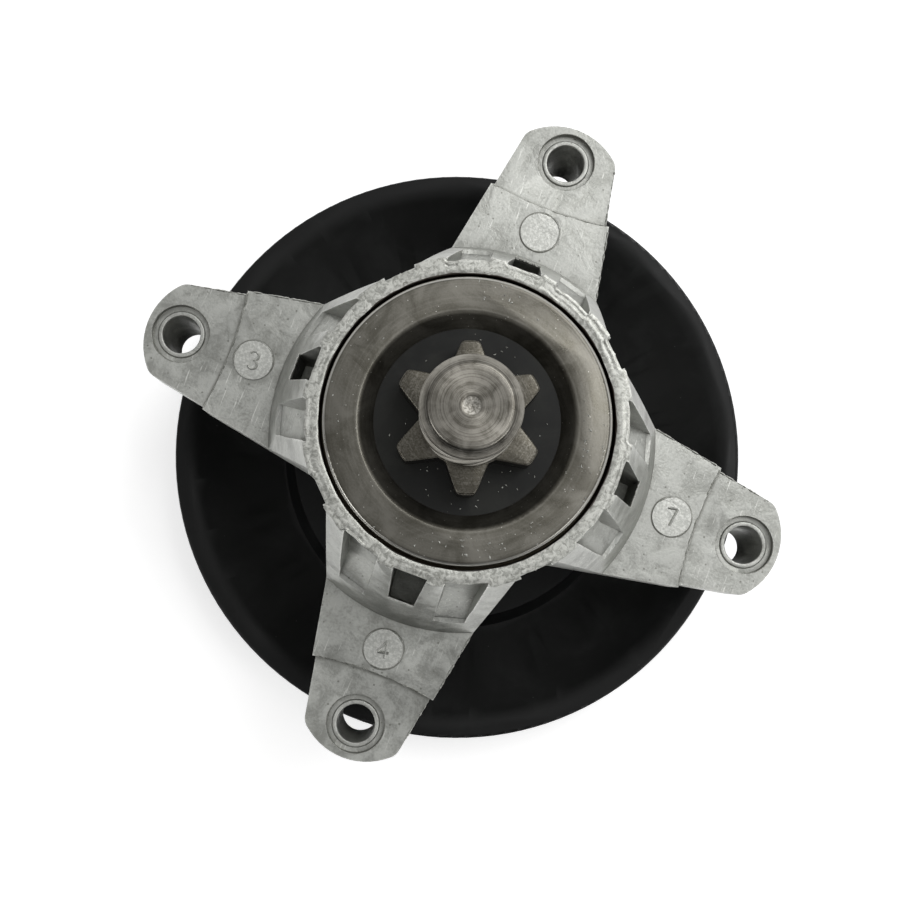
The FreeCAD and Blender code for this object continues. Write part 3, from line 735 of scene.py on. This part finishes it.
def shaftSurface():
    # Each row is a closed ring of radius r(angle) at one height. The star's ring is the larger of
    # its root circle and, for each tooth, the smaller of a flat tip and two straight flanks, rounded
    # where they meet. Its upper edge is a quarter round in rows. The stub's thread lowers its ring by
    # a triangle wave of (height / pitch - angle / full turn).
    v = shaftValues
    toothTurn = fullTurn / v["teeth"]
    columns = v["halfToothColumns"]
    half = np.linspace(0, toothTurn / 2, columns + 1)[:-1] + toothTurn / (4 * columns)
    oneTooth = np.concatenate([-half[::-1], half])
    angles = np.concatenate([oneTooth + toothTurn * k for k in range(v["teeth"])])
    offset = np.tile(np.abs(oneTooth), v["teeth"])
    slope = math.tan(math.radians(v["starFlank"]))
    flank = (v["starTipHalf"] + slope * v["starTip"]) / (np.sin(offset) + slope * np.cos(offset))
    star = np.maximum(v["starRoot"], softMin(v["starTip"] / np.cos(offset), flank, v["tipCorner"]))

    threadTop = stubHeight - v["stubBevel"] - v["noseBand"]
    threadLow = starFront + v["reliefWidth"]
    threadCount = int((threadTop - threadLow) / v["pitch"] * v["rowsPerPitch"])
    threadRows = np.linspace(threadTop, threadLow, threadCount)
    phase = (threadRows[:, None] / v["pitch"] - angles[None, :] / fullTurn) % 1
    wave = np.clip(np.abs(phase * 2 - 1) * v["threadSteep"] - v["threadCrest"], 0, 1)
    fade = np.clip((threadTop - threadRows) / v["pitch"], 0, 1)[:, None]
    thread = v["stubRadius"] - v["threadDepth"] * fade * wave

    # rows of height and radius from the stub's face down; one radius makes a plain circle
    face = v["stubRadius"] - v["stubBevel"]
    rows = [(stubHeight - depth, radius) for depth, radius in v["dimple"]]
    faceRadii = np.linspace(v["faceStart"], face - v["faceMargin"], v["faceRings"])
    rows += [(stubHeight, radius) for radius in faceRadii]
    rows.append((stubHeight - v["faceSoft"], face + v["faceSoft"]))
    for share in np.linspace(v["bevelStart"], 1, v["bevelRows"]):
        rows.append((stubHeight - v["stubBevel"] * share, face + v["stubBevel"] * share ** v["bevelPower"]))
    rows += list(zip(threadRows, thread))
    rows.append((threadLow - v["reliefRun"], v["reliefRadius"]))
    rows.append((starFront + v["reliefFoot"], v["reliefRadius"]))
    for bend in np.radians(np.linspace(90, 0, v["roundRows"])):
        inset = v["starRound"] * (1 - math.cos(bend))
        drop = v["starRound"] * (1 - math.sin(bend))
        rows.append((starFront - drop, np.maximum(star - inset, v["reliefRadius"] + v["starMargin"])))
    rows += [
        (v["starBack"], star),
        (v["starBack"], v["journalRadius"]),
        (v["journalEnd"], v["journalRadius"]),
        (v["journalEnd"], v["seatRadius"]),
        (v["nutSeat"], v["seatRadius"]),
        (v["nutSeat"], v["threadRadius"]),
        (shaftLow.z + v["endBevel"], v["threadRadius"]),
        (shaftLow.z, v["threadRadius"] - v["endBevel"]),
    ]
    circle = np.ones_like(angles)
    heights = np.array([height * circle for height, radius in rows])
    radii = np.array([radius * circle for height, radius in rows])
    spun = angles + math.radians(v["turn"])
    points = np.stack([radii * np.cos(spun), radii * np.sin(spun), heights], -1)[::-1]
    return gridMesh("shaft_dressed", points, (0, 0, shaftLow.z), (0, 0, stubHeight - v["dotDepth"]))


shaftMesh = shaftSurface()
shadeSmooth(shaftMesh, shaftValues["smoothAngle"])
shaftPiece = addPiece("shaft_dressed", shaftMesh, "rotor", "turned_steel")
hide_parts("spindle_shaft")
print("stage: shaft turned")


def tubesMesh(name, rings, closed=False):
    # rings is pieces x steps x corners x 3: each piece is a tube through its rings, joined round when
    # closed and capped at both ends when not
    pieces, steps, corners = rings.shape[:3]
    index = np.arange(pieces * steps * corners).reshape(pieces, steps, corners)
    if closed:
        index = np.concatenate([index, index[:, :1]], axis=1)
    after = np.roll(index, -1, axis=2)
    sides = np.stack([index[:, :-1], after[:, :-1], after[:, 1:], index[:, 1:]], -1)
    faces = sides.reshape(-1, 4).tolist()
    if not closed:
        faces += index[:, 0, ::-1].tolist() + index[:, -1].tolist()
    mesh = bpy.data.meshes.new(name)
    mesh.from_pydata(rings.reshape(-1, 3), [], faces)
    mesh.update()
    return mesh


def wander(rng, count, reach, lanes=1):
    # random values along a closed line, smoothed over about reach steps, from -1 to 1, a column a lane
    raw = np.fft.rfft(rng.standard_normal((count, lanes)), axis=0)
    wave = np.arange(raw.shape[0])[:, None] * reach / count
    line = np.fft.irfft(raw * np.exp(-4 * wave ** 2), count, axis=0)
    return np.clip(line / (2 * line.std(axis=0)), -1, 1)


def wanderLine(rng, count, waves):
    # the sum of single wandering lines, each with its share and the steps it is smoothed over
    return sum(share * wander(rng, count, reach)[:, 0] for share, reach in waves)


def turned(points, angle):
    # points turned about the spindle axis
    c, s = math.cos(angle), math.sin(angle)
    return points @ np.array([[c, s, 0], [-s, c, 0], [0, 0, 1]])


def roundTurns(steps):
    return np.linspace(0, fullTurn, steps, endpoint=False)


def lozenges(line, out, widths, heights, sink):
    # at each point of a line a lozenge of the given half width and height, with its foot sunk below the line
    aside = out * widths[:, None]
    corners = [line + upward * heights[:, None], line + aside, line - upward * sink, line - aside]
    return np.stack(corners, axis=1)


def burrRings(line, widths, heights, sink):
    # lozenges along a level line, square to its run
    along = np.gradient(line, axis=0)
    along /= np.linalg.norm(along, axis=1, keepdims=True)
    return lozenges(line, np.cross(along, (0, 0, 1)), widths, heights, sink)


rimValues = {
    "seed": 11,
    "steps": 1080,
    "lanes": 9,
    "outer": 37.2 * mm,
    "fluteDepth": 0.9 * mm,
    "fluteSoft": 0.8,
    "flutes": ((0, 6.3), (12.7, 27.9), (39.2, 45)),  # degrees from the nearest arm's middle
    "outerWaves": ((0.20 * mm, 9),),
    "innerGap": 0.05 * mm,
    "innerRagged": 0.14 * mm,
    "innerWaves": ((1, 12),),
    "lift": 0.20 * mm,
    "clear": 0.03 * mm,
    "crownSteep": 9,
    "crownLeast": 0.1,
    "roughWaves": ((0.75, 60), (0.25, 12)),
    "outerInset": 0.3 * mm,
    "innerInset": 0.15 * mm,
    "sink": 0.35 * mm,
}


def rimSkin():
    # The hub's torn rim: a band carried round the mouth. Across it run lanes from the mouth to an outer
    # edge that steps in at each flute; the height of each lane wanders, and so do both edges.
    v = rimValues
    rng = np.random.default_rng(v["seed"])
    steps, lanes, soft = v["steps"], v["lanes"], v["fluteSoft"]
    turns = roundTurns(steps)
    folded = np.abs((np.degrees(turns) + 45) % 90 - 45)
    notch = 0
    for low, high in v["flutes"]:
        inward = np.minimum(folded - low + soft, high + soft - folded) if low else high + soft - folded
        notch = notch + np.clip(inward, 0, 1)
    outer = v["outer"] - v["fluteDepth"] * np.clip(notch, 0, 1) + wanderLine(rng, steps, v["outerWaves"])
    inner = housingValues["mouthRadius"] + v["innerGap"]
    inner = inner + v["innerRagged"] * (1 + wanderLine(rng, steps, v["innerWaves"]))
    share = np.linspace(0, 1, lanes)
    reach = inner[:, None] + (outer - inner)[:, None] * share
    rough = sum(part * wander(rng, steps, length, lanes) for part, length in v["roughWaves"])
    crown = np.clip(np.minimum(share, 1 - share) * v["crownSteep"], v["crownLeast"], 1)
    height = rimHeight + v["clear"] + v["lift"] * (0.5 + 0.5 * rough) * crown
    foot = np.stack([outer - v["outerInset"], inner + v["innerInset"]], 1)
    reach = np.concatenate([reach, foot], axis=1)
    height = np.concatenate([height, np.full_like(foot, rimHeight - v["sink"])], axis=1)
    rings = np.stack([reach * np.cos(turns)[:, None], reach * np.sin(turns)[:, None], height], -1)
    return tubesMesh("rim_torn", rings[None, :, ::-1], True)


burrValues = {
    "seed": 23,
    "count": 140,
    "landEdge": ((45.2 * mm, 19.42 * mm), (62.6 * mm, 16.20 * mm)),
    "padEdge": ((64.2 * mm, 15.10 * mm), (78.2 * mm, 12.50 * mm)),
    "stepHalf": 15.6 * mm,
    "stepInset": 0.05 * mm,
    "fluteReach": 43.2 * mm,
    "fluteHalf": 3.3 * mm,
    "fluteHeight": 96.0 * mm,
    "edgeSides": {90: -1, 270: 1, 0: 1, 180: -1},  # the side of each arm, by its angle, that has flash
    # half width, height and the share that stands up, along land, pad, step and flute
    "looks": ((0.28 * mm, 0.24 * mm, 0.60), (0.26 * mm, 0.24 * mm, 0.50),
              (0.30 * mm, 0.20 * mm, 0.35), (0.32 * mm, 0.34 * mm, 0.65)),
    "waves": ((0.5, 5), (0.5, 16)),
    "leastSwell": 0.04,
    "endSwell": 0.02,
    "sink": 0.12 * mm,
}


def raggedStrip(rng, line, width, height, share):
    # a strip that breaks off and starts again: share is about how much of its length stands up
    v = burrValues
    swell = np.clip(wanderLine(rng, len(line), v["waves"]) + share, v["leastSwell"], 1)
    swell[[0, -1]] = v["endSwell"]
    return burrRings(line, width * swell, height * swell, v["sink"])


def armBurrs():
    # flash left on the arms: along one side of each arm's land and pad, along the step between them,
    # an arc about a point beyond the tip, and across the outer end of the middle flute
    v = burrValues
    rng = np.random.default_rng(v["seed"])
    land, pad = housingValues["landHeight"], housingValues["padHeight"]
    stepReach, curve = housingValues["stepReach"], housingValues["stepCurve"]
    share = np.linspace(0, 1, v["count"])[:, None]
    across = (share * 2 - 1) * v["stepHalf"]
    step = stepReach + curve - np.sqrt(curve ** 2 - across ** 2) - v["stepInset"]
    stepLine = np.hstack([step, across, np.full_like(across, land)])
    flute = (share * 2 - 1) * v["fluteHalf"]
    even = np.ones_like(flute)
    fluteLine = np.hstack([even * v["fluteReach"], flute, even * v["fluteHeight"]])
    strips = []
    for degrees, side in v["edgeSides"].items():
        lines = []
        for edge, level in ((v["landEdge"], land), (v["padEdge"], pad)):
            start, end = np.array((*edge[0], level)), np.array((*edge[1], level))
            lines.append((start + (end - start) * share) * (1, side, 1))
        lines += [stepLine, fluteLine]
        for line, look in zip(lines, v["looks"]):
            strips.append(turned(raggedStrip(rng, line, *look), math.radians(degrees)))
    return tubesMesh("arm_flash", np.array(strips))


pinValues = {
    "seed": 5,
    "radius": 4.95 * mm,
    "height": 72.85 * mm,
    "steps": 160,
    "swellMiddle": 0.35,
    "swellLeast": 0.05,
    "swellWaves": ((0.6, 12), (0.3, 4)),
    "lipWidth": 0.22 * mm,
    "lipHeight": 0.16 * mm,
    "lipSink": 0.3 * mm,
    "strokeWidth": 0.38 * mm,
    "strokeHeight": 0.34 * mm,
    "strokeSink": 0.1 * mm,
    "digitSize": 2.5 * mm,
}


def pinFlash():
    # a thin ragged lip round each arm's pin disc: a circle whose strip swells and dies away
    v = pinValues
    rng = np.random.default_rng(v["seed"])
    turns = roundTurns(v["steps"])
    out = np.stack([np.cos(turns), np.sin(turns), 0 * turns], -1)
    circle = out * v["radius"] + (housingValues["pinReach"], 0, v["height"])
    loops = []
    for quarter in range(4):
        swell = v["swellMiddle"] + wanderLine(rng, v["steps"], v["swellWaves"])
        swell = np.clip(swell, v["swellLeast"], 1)
        strip = lozenges(circle, out, v["lipWidth"] * swell, v["lipHeight"] * swell, v["lipSink"])
        loops.append(turned(strip, quarter * fullTurn / 4))
    return tubesMesh("pin_flash", np.array(loops), True)


seatValues = {
    "hole": 4.78 * mm,
    "ring": 5.9 * mm,
    "rise": 0.55 * mm,
    "round": 0.22 * mm,
    "roundRows": 4,
    "sink": 0.2 * mm,
    "flare": 0.25 * mm,
    "steps": 72,
}


def boltSeats():
    # the raised seat in each bolt recess: a low square section with rounded upper corners, carried round
    # the hole
    v = seatValues
    turns = roundTurns(v["steps"])
    bend = np.radians(np.linspace(0, 90, v["roundRows"]))
    floor = housingValues["boltFloor"]
    inward = v["round"] * (1 - np.cos(bend))
    lift = floor + v["rise"] - v["round"] + v["round"] * np.sin(bend)
    outerRound = np.stack([v["ring"] - inward, lift], -1)
    innerRound = np.stack([v["hole"] + inward, lift], -1)[::-1]
    foot = floor - v["sink"]
    section = np.vstack([outerRound, innerRound, (v["hole"], foot), (v["ring"] + v["flare"], foot)])[::-1]
    reach, height = section[:, 0], section[:, 1]
    ring = np.stack([housingValues["boltReach"] + reach * np.cos(turns)[:, None],
                     reach * np.sin(turns)[:, None], height + 0 * turns[:, None]], -1)
    return tubesMesh("bolt_seats", np.array([turned(ring, k * fullTurn / 4) for k in range(4)]), True)


def arcStroke(centre, radius, start, end, count=14):
    turns = np.radians(np.linspace(start, end, count))
    return np.stack([centre[0] + radius * np.cos(turns), centre[1] + radius * np.sin(turns)], -1)


def lineStroke(start, end, count=14):
    return np.linspace(start, end, count)


# plain cavity numbers in strokes on a square two units high: arm angle, turn of the number, strokes
cavityNumbers = (
    (180, -172, (arcStroke((0, 0.45), 0.45, 160, -90), arcStroke((0, -0.45), 0.45, 90, -160))),
    (0, 12, (lineStroke((-0.5, 0.85), (0.5, 0.85)), lineStroke((0.5, 0.85), (-0.15, -0.9)))),
    (270, 100, (lineStroke((0.25, -0.9), (0.25, 0.9)), lineStroke((0.25, 0.9), (-0.55, -0.35)),
                lineStroke((-0.55, -0.35), (0.6, -0.35)))),
)


def cavityMarks():
    # each stroke is a low ridge carried along its line on the pin disc
    v = pinValues
    ridges = []
    for armAngle, spin, strokes in cavityNumbers:
        for stroke in strokes:
            even = np.ones(len(stroke))
            flat = np.column_stack([stroke * v["digitSize"], even * v["height"]])
            ridge = burrRings(flat, even * v["strokeWidth"], even * v["strokeHeight"], v["strokeSink"])
            onArm = turned(ridge, math.radians(spin)) + (housingValues["pinReach"], 0, 0)
            ridges.append(turned(onArm, math.radians(armAngle)))
    return tubesMesh("cavity_marks", np.array(ridges))


chipValues = {
    "seed": 71,
    "steps": 6,
    "shieldTop": shieldHeight,
    "floorTop": 117.0 * mm,
    "imageTurn": 20.56,  # a place's angle about the axis less its angle in the picture
    "leastLength": 0.25,
    "lengthPower": 1.6,  # over 1 makes most slivers short
    "bendSpread": 0.8,
    "halfWidths": (0.07 * mm, 0.19 * mm),
    "lift": 0.10 * mm,
    "clear": 0.03 * mm,
    "pointed": 0.96,  # 1 brings both ends to a point
    "thickness": 0.5,
}
# where chips lie: height, least and greatest reach, middle angle in the picture, spread, count, longest
chipDrifts = (
    ("shieldTop", 26.5 * mm, 31.6 * mm, 75, 14, 14, 1.0 * mm),
    ("shieldTop", 25.8 * mm, 31.6 * mm, -10, 13, 26, 1.0 * mm),
    ("shieldTop", 26.0 * mm, 31.6 * mm, -78, 24, 40, 1.1 * mm),
    ("shieldTop", 26.0 * mm, 31.6 * mm, 165, 22, 7, 0.7 * mm),
    ("floorTop", 13.0 * mm, 19.6 * mm, 60, 22, 12, 0.9 * mm),
    ("floorTop", 12.5 * mm, 19.6 * mm, -35, 26, 14, 0.9 * mm),
    ("floorTop", 13.0 * mm, 19.6 * mm, -130, 50, 14, 0.7 * mm),
)


def chips():
    # Slivers of broken metal. A sliver's line is a short arc; its width falls to a point at both ends as
    # a cosine, and its middle is lifted a little off what it lies on.
    v = chipValues
    rng = np.random.default_rng(v["seed"])
    places, lengths = [], []
    for level, least, most, middle, spread, count, longest in chipDrifts:
        angle = np.radians(rng.normal(middle, spread, count) + v["imageTurn"])
        reach = rng.uniform(least, most, count)
        height = np.full(count, v[level])
        places.append(np.stack([reach * np.cos(angle), reach * np.sin(angle), height], -1))
        lengths.append(longest * rng.uniform(v["leastLength"], 1, count) ** v["lengthPower"])
    places, lengths = np.concatenate(places), np.concatenate(lengths)
    count = len(places)
    heading = rng.uniform(0, fullTurn, count)
    bend = rng.normal(0, v["bendSpread"], count)
    width = rng.uniform(*v["halfWidths"], count)
    share = np.linspace(-0.5, 0.5, v["steps"])
    ahead = np.stack([np.cos(heading), np.sin(heading), 0 * heading], -1)[:, None]
    aside = np.stack([-np.sin(heading), np.cos(heading), 0 * heading], -1)[:, None]
    rise = v["lift"] * (1 - 4 * share ** 2) + v["clear"]
    line = (places[:, None] + ahead * (lengths[:, None] * share)[..., None]
            + aside * (lengths * bend)[:, None, None] * ((share ** 2 - 0.25) / 2)[None, :, None]
            + upward * rise[None, :, None])
    taper = (np.cos(math.pi * share * v["pointed"])[None, :] * width[:, None])[..., None]
    thick = upward * v["thickness"] * taper
    rings = np.stack([line + thick, line - aside * taper, line - thick, line + aside * taper], axis=2)
    return tubesMesh("loose_chips", rings)


# maker, body, the angle up to which it is shaded round, and finish
addedPieces = (
    (rimSkin, "housing", 40, "torn_aluminium"),
    (armBurrs, "housing", 30, "torn_aluminium"),
    (pinFlash, "housing", 30, "torn_aluminium"),
    (cavityMarks, "housing", 50, "cast_aluminium"),
    (boltSeats, "housing", 35, "cast_aluminium"),
    (chips, "rotor", 30, "torn_aluminium"),
)
for maker, body, angle, finish in addedPieces:
    mesh = maker()
    shadeSmooth(mesh, angle)
    addPiece(mesh.name, mesh, body, "cast_aluminium", finishes[finish])
print("stage: torn metal and chips laid")


for node, item in frame["nodes"].items():
    if not item.hide_render:
        item.data.materials.clear()
        item.data.materials.append(finishes[slotOf[node]])
print("stage: inner pieces finished")


# camera: the photograph's view from the blade end, a little off the axis
cameraValues = {
    "imageSize": 919,
    "focalPixels": 1600.0,
    "sensor": 36.0,
    "clip": (0.01, 50),
    "lean": 4.29,
    "leanRight": 0.3004,
    "leanUp": 0.9538,
    "armTurn": -20.56,
    "distance": 453.87 * mm,
    "right": -0.397 * mm,
    "up": 1.675 * mm,
}


def photoCamera():
    # the object's axes as the camera sees them, turned round into the camera's own place
    v = cameraValues
    lean = math.radians(v["lean"])
    sideways = math.sin(lean)
    axis = Vector((sideways * v["leanRight"], sideways * v["leanUp"], math.cos(lean))).normalized()
    armTurn = math.radians(v["armTurn"])
    arm = Vector((math.cos(armTurn), math.sin(armTurn), 0))
    arm = (arm - axis * arm.dot(axis)).normalized()
    other = axis.cross(arm)
    toObject = Matrix((arm, other, axis))
    sight = Vector((0, 0, nearRimHeight))
    place = sight - toObject @ Vector((v["right"], v["up"], -v["distance"]))
    data = bpy.data.cameras.new("photoCamera")
    data.sensor_width = v["sensor"]
    data.lens = v["focalPixels"] / v["imageSize"] * v["sensor"]
    data.clip_start, data.clip_end = v["clip"]
    camera = bpy.data.objects.new("photoCamera", data)
    camera.matrix_world = Matrix.Translation(place) @ toObject.to_4x4()
    scene.collection.objects.link(camera)
    scene.camera = camera
    return toObject


toObject = photoCamera()
imageUp = toObject @ Vector((0, 1, 0))
imageRight = toObject @ Vector((1, 0, 0))


stageValues = {
    "floorReach": 3.0,
    "floorRings": 12,
    "floorSteps": 96,
    "floorColour": (0.90, 0.90, 0.90, 1),
    "floorGlow": 0.50,
    "white": (1, 1, 1, 1),
    "brightSide": {"up": 0.75, "right": 0.42, "height": 0.45},
    "skyBright": 0.66,
    "skyDark": 0.05,
    "skyStep": (-0.65, 0.75),
    "aimHeight": 0.07,
}
lampValues = {
    "softBox": {"up": 0.28, "right": 0.50, "height": 1.30, "size": 0.45, "power": 2.6},
    "key": {"up": 0.70, "right": 0.50, "height": 0.95, "size": 0.6, "power": 3.5},
    "rightLow": {"up": -0.55, "right": 0.65, "height": 0.75, "size": 0.3, "power": 1.5},
    "leftLow": {"up": -0.45, "right": -0.75, "height": 0.70, "size": 0.25, "power": 1.5},
}


def paleStage():
    # a round level floor: rings of growing reach
    v = stageValues
    turns = roundTurns(v["floorSteps"])
    reach = v["floorReach"] * np.linspace(0, 1, v["floorRings"] + 1)[1:, None]
    points = np.stack([reach * np.cos(turns), reach * np.sin(turns), 0 * reach * turns], -1)
    mesh = gridMesh("paleStage", points, (0, 0, 0))
    mesh.flip_normals()
    finish, tree, shader, place = newFinish("paleStage")
    setInputs(tree, shader, {
        "Base Color": v["floorColour"],
        "Roughness": 1.0,
        "Specular IOR Level": 0.0,
        "Emission Color": v["white"],
        "Emission Strength": v["floorGlow"],
    })
    mesh.materials.append(finish)
    floor = bpy.data.objects.new("paleStage", mesh)
    scene.collection.objects.link(floor)


def fromImage(place):
    # a place given up and right in the picture and by height, as a vector
    return imageUp * place["up"] + imageRight * place["right"] + Vector((0, 0, place["height"]))


def lamps():
    centre = Vector((0, 0, stageValues["aimHeight"]))
    for name, v in lampValues.items():
        data = bpy.data.lights.new(name, "AREA")
        data.energy = v["power"]
        data.size = v["size"]
        lamp = bpy.data.objects.new(name, data)
        spot = centre + fromImage(v)
        facing = (centre - spot).to_track_quat("-Z", "Y").to_matrix().to_4x4()
        lamp.matrix_world = Matrix.Translation(spot) @ facing
        scene.collection.objects.link(lamp)


def room():
    # the room is bright on one side and falls off to the other
    v = stageValues
    toLight = tuple(fromImage(v["brightSide"]).normalized())
    world = bpy.data.worlds.new("studio")
    world.use_nodes = True
    tree = world.node_tree
    sight = addNode(tree, "ShaderNodeTexCoord").outputs["Generated"]
    facing = addNode(tree, "ShaderNodeVectorMath", {"operation": "DOT_PRODUCT"}, {0: sight, 1: toLight})
    level = stepOf(tree, facing.outputs["Value"], *v["skyStep"], v["skyDark"], v["skyBright"])
    setInputs(tree, tree.nodes["Background"], {"Color": v["white"], "Strength": level})
    scene.world = world


paleStage()
lamps()
room()
print("stage: camera and light set")
